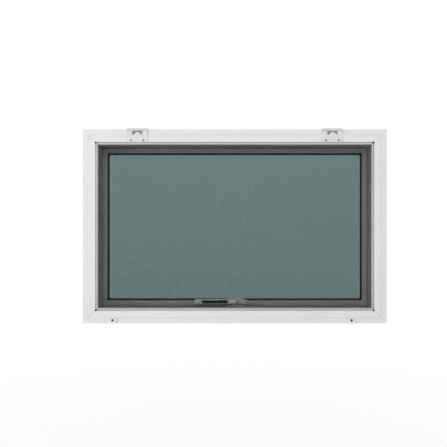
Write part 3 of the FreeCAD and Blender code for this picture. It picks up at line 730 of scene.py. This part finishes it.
def hub_dome():
    base_low, base_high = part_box("handle_base")
    lever_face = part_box("handle_lever")[0].y + CAP_HEIGHT
    rise = CAP_HEIGHT + DOME_RISE
    profile = [(0, -DOME_SKIRT), (DOME_RADIUS, -DOME_SKIRT)]
    for step in range(DOME_STEPS):
        share = math.cos(math.pi / 2 * step / DOME_STEPS)
        profile.append((DOME_RADIUS * share, rise * math.sqrt(1 - share ** DOME_POWER)))
    profile.append((0, rise))
    mesh = to_mesh(lathe(profile, DOME_SEGMENTS), "hub_dome")
    stand(mesh, Vector(((base_low.x + base_high.x) / 2, lever_face, AXIS_HEIGHT)), TO_ROOM)
    smooth(mesh)
    new_piece("hub_dome", mesh, finish["handle"], "handle_lever")


hub_dome()


# Grip strip of the lever, with a thin rim that lies on the lever's face
STRIP_RIM = 0.6 * MM
STRIP_RISE = 0.4 * MM
STRIP_SHOULDER = 0.6
STRIP_BEVEL = 0.3 * MM
STRIP_CORNER = 1.2 * MM
POCKET_CORNER = 0.2 * MM
CORNER_STEPS = 4


def rounded_rectangle(half_length, half_width, corner):
    points = []
    for quarter in range(4):
        sign_x = 1 if quarter in (0, 3) else -1
        sign_z = 1 if quarter in (0, 1) else -1
        for step in range(CORNER_STEPS + 1):
            turn = math.pi / 2 * (quarter + step / CORNER_STEPS)
            points.append((sign_x * (half_length - corner) + corner * math.cos(turn),
                           sign_z * (half_width - corner) + corner * math.sin(turn)))
    return points


def grip_strip():
    low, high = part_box("lever_insert")
    middle = (low + high) / 2
    half = (high - low) / 2
    face = low.y + STRIP_RISE
    shoulder = face - STRIP_RISE * STRIP_SHOULDER
    outlines = []
    for depth, grow, corner in (
        (high.y, 0, POCKET_CORNER), (face, 0, POCKET_CORNER), (face, STRIP_RIM, STRIP_CORNER),
        (shoulder, STRIP_RIM, STRIP_CORNER), (low.y, STRIP_RIM - STRIP_BEVEL, STRIP_CORNER),
    ):
        outline = rounded_rectangle(half.x + grow, half.z + grow, corner)
        outlines.append([(middle.x + x, depth, middle.z + z) for x, z in outline])
    piece = new_piece("grip_strip", to_mesh(loft(outlines), "grip_strip"), finish["insert"],
                      "handle_lever")
    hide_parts("lever_insert")


grip_strip()


# Plates inside the head that take the hinge screws, seen through the hinge's opening
PLATE_WIDTH = 33 * MM
PLATE_TOP = 1.9 * MM
PLATE_FOOT = 15 * MM
PLATE_FRONT = 1.7 * MM
PLATE_THICKNESS = 1.2 * MM
PLATE_EDGE = 0.3 * MM
EDGE_STEPS = 2


def screw_plates():
    head_low, head_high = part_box("frame_head")
    for side in HANDS:
        low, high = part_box("hinge_moving_leaf_" + side)
        build = bmesh.new()
        bmesh.ops.create_cube(build, size=1.0)
        place = Vector(((low.x + high.x) / 2, head_low.y + PLATE_FRONT + PLATE_THICKNESS / 2,
                        head_high.z - (PLATE_TOP + PLATE_FOOT) / 2))
        scale = Matrix.Diagonal((PLATE_WIDTH, PLATE_THICKNESS, PLATE_FOOT - PLATE_TOP, 1))
        bmesh.ops.transform(build, matrix=Matrix.Translation(place) @ scale, verts=build.verts)
        bmesh.ops.bevel(build, geom=build.edges[:], offset=PLATE_EDGE, segments=EDGE_STEPS,
                        affect="EDGES")
        name = "screw_plate_" + side
        new_piece(name, to_mesh(build, name), finish["zinc"], "window")


screw_plates()


# Floor, backdrop and light
BARE_WHITE = rgb(1, 1, 1)
FLOOR_COLOUR = rgb(0.86, 0.86, 0.885)
FLOOR_PATCHES = rgb(0.82, 0.82, 0.845)
FLOOR_DROP = 0.345
FLOOR_SIZE = 30
BARE_FROM = 0.4
BARE_AT = 2.0
BARE_SHARE = 0.90
GREY_FROM = 3
NEAR_GREY = 0.85
FAR_GREY = 0.905
DIM_SIDE = rgb(0.12, 0.09, 0.08)
DIM_AT = 0.45
HORIZON = (-0.035, 0.10)
AMBIENT = 0.40


def seen(path):
    """The kinds of ray that show the floor and backdrop: straight, in gloss and through glass."""
    return path["Is Camera Ray"], path["Is Glossy Ray"], path["Is Transmission Ray"]


def floor():
    """A pale floor that turns plain white away from the window, and a grey level in gloss and glass."""
    shader = Shader("pale_floor")
    cloud = shader.noise(scale=40, detail=4.0)
    colour = shader.tint(FLOOR_COLOUR, shader.remap(cloud, 0.0, 0.5), FLOOR_PATCHES)
    lit = shader.add("BsdfPrincipled", {"Base Color": colour, "Roughness": 0.8})
    away = shader.add("VectorMath", {0: shader.place()}, operation="LENGTH").outputs["Value"]
    share = shader.remap(away, BARE_SHARE, 1.0, BARE_FROM, BARE_AT)
    grey = shader.remap(away, NEAR_GREY, FAR_GREY, GREY_FROM, FLOOR_SIZE / 2)
    path = shader.add("LightPath").outputs
    glow = shader.add("Emission", {
        "Color": BARE_WHITE,
        "Strength": shader.maths("MAXIMUM", path["Is Camera Ray"], grey),
    })
    part = shader.maths("MULTIPLY", shader.maths("MAXIMUM", *seen(path)), share)
    shader.surface(shader.add("MixShader", {0: part, 1: lit.outputs[0], 2: glow.outputs[0]}))
    bpy.ops.mesh.primitive_plane_add(size=FLOOR_SIZE, location=(0, 0, cad_low.z - FLOOR_DROP))
    plane = bpy.context.object
    plane.name = "floor"
    plane.data.materials.append(shader.material)


def world():
    """A white backdrop, greyer low down through glass, and a soft light with a dim side in gloss."""
    shader = Shader("studio", bpy.data.worlds, "World")
    bpy.context.scene.world = shader.material
    path = shader.add("LightPath").outputs
    way = shader.add("SeparateXYZ", {0: shader.add("TexCoord").outputs["Generated"]}).outputs
    backdrop = shader.remap(way["Z"], FAR_GREY, 1.0, *HORIZON)
    mirrored = shader.maths("SUBTRACT", path["Is Glossy Ray"], path["Is Transmission Ray"])
    dim = shader.maths("MULTIPLY", mirrored, shader.remap(way["X"], 0.0, 1.0, 0.0, DIM_AT))
    white = shader.add("Background", {
        "Color": shader.tint(BARE_WHITE, dim, DIM_SIDE),
        "Strength": shader.maths("MAXIMUM", path["Is Camera Ray"], mirrored, backdrop),
    })
    soft = shader.add("Background", {"Color": BARE_WHITE, "Strength": AMBIENT})
    shown = shader.maths("MAXIMUM", *seen(path))
    shader.surface(shader.add("MixShader", {0: shown, 1: soft.outputs[0], 2: white.outputs[0]}))


def area_light(name, place, size, power):
    """A square light that points at the middle of the window."""
    lamp = bpy.data.lights.new(name, "AREA")
    lamp.shape = "SQUARE"
    lamp.size = size
    lamp.energy = power
    item = bpy.data.objects.new(name, lamp)
    item.location = place
    way = (cad_low + cad_high) / 2 - Vector(place)
    item.rotation_euler = way.to_track_quat("-Z", "Y").to_euler()
    bpy.context.scene.collection.objects.link(item)
    return item


def outdoor_light(name, place, size, power):
    """A light behind the window that shows neither in its paint nor through its glass."""
    item = area_light(name, place, size, power)
    item.visible_glossy = False
    item.visible_transmission = False


floor()
world()
area_light("left", (-3.0, -1.9, 0.05), size=1.8, power=53)
area_light("right", (3.6, -1.9, 0.5), size=2.0, power=20)
area_light("high", (0, -3.7, 2.0), size=2.0, power=44)
outdoor_light("outdoor_left", (-1.9, 2.3, 0.6), size=2.0, power=30)
outdoor_light("outdoor_right", (1.9, 2.3, 0.8), size=2.0, power=31)


# Camera: square to the window and a little below its middle
PICTURE = 447
OUTLINE_LEFT = 82.72
OUTLINE_RIGHT = 386.74
CENTRE_COLUMN = (OUTLINE_LEFT + OUTLINE_RIGHT) / 2
CENTRE_ROW = 226.36
SENSOR = 36
CAMERA_DISTANCE = 2.2
CAMERA_DROP = 0.035


def camera():
    jamb_low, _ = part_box("frame_jamb_left")
    _, jamb_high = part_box("frame_jamb_right")
    pixels_per_metre = (OUTLINE_RIGHT - OUTLINE_LEFT) / (jamb_high.x - jamb_low.x)
    data = bpy.data.cameras.new("camera")
    data.sensor_width = SENSOR
    data.lens = SENSOR * pixels_per_metre * CAMERA_DISTANCE / PICTURE
    data.shift_x = (PICTURE / 2 - CENTRE_COLUMN) / PICTURE
    data.shift_y = (CENTRE_ROW - PICTURE / 2 + CAMERA_DROP * pixels_per_metre) / PICTURE
    item = bpy.data.objects.new("camera", data)
    height = (jamb_low.z + jamb_high.z) / 2 - CAMERA_DROP
    item.location = (0, jamb_low.y - CAMERA_DISTANCE, height)
    item.rotation_euler = (math.pi / 2, 0, 0)
    bpy.context.scene.collection.objects.link(item)
    bpy.context.scene.camera = item


camera()
bpy.context.scene.view_settings.view_transform = "Standard"
